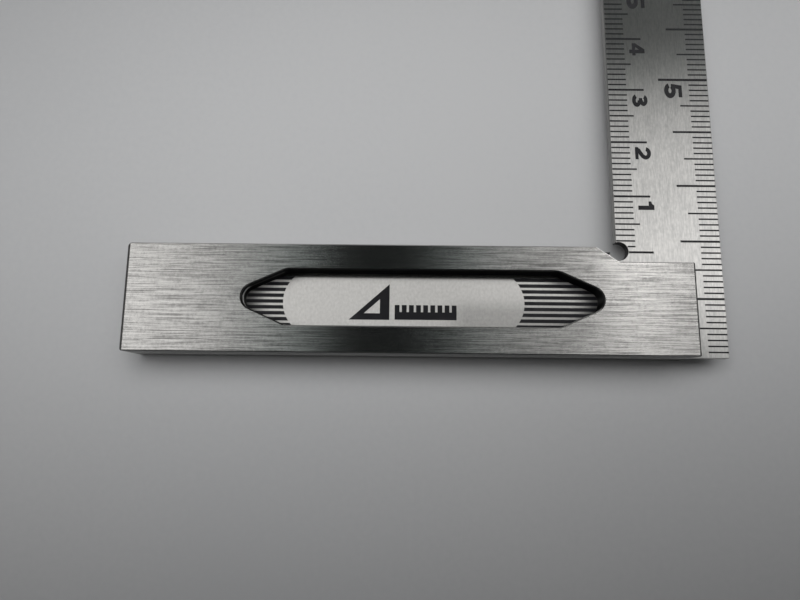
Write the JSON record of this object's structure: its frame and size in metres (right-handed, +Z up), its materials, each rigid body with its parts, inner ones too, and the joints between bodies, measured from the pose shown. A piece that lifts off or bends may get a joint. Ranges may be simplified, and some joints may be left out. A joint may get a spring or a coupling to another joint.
{
  "type": "steel try square",
  "caption": "Fixed steel square: thin graduated L-shaped plate sandwiched between two thick brushed bars with long windows, relief hole in the inner corner.",
  "frame": {"origin": "centre of the bounding box on the surface the square lies on, which is the outer face of the back cheek", "axes": "+Y along the blade from the stock to its free end, +X from the stock's free end to the blade's outer edge, +Z up through the layers from the back cheek to the front cheek"},
  "size_m": [0.1, 0.17, 0.0085],
  "materials": {
    "stock_steel": "stainless, ground lengthways along the stock, satin",
    "blade_steel": "stainless, fine satin grain along the blade",
    "pin_steel": "ground dowel steel",
    "scale_black": "matt black fill of the etched scale lines, numbers and window stripes"
  },
  "bodies": {
    "root": {"blade_plate": "blade_steel", "front_cheek": "stock_steel", "back_cheek": "stock_steel", "dowel_pins": "pin_steel"}
  },
  "joints": []
}
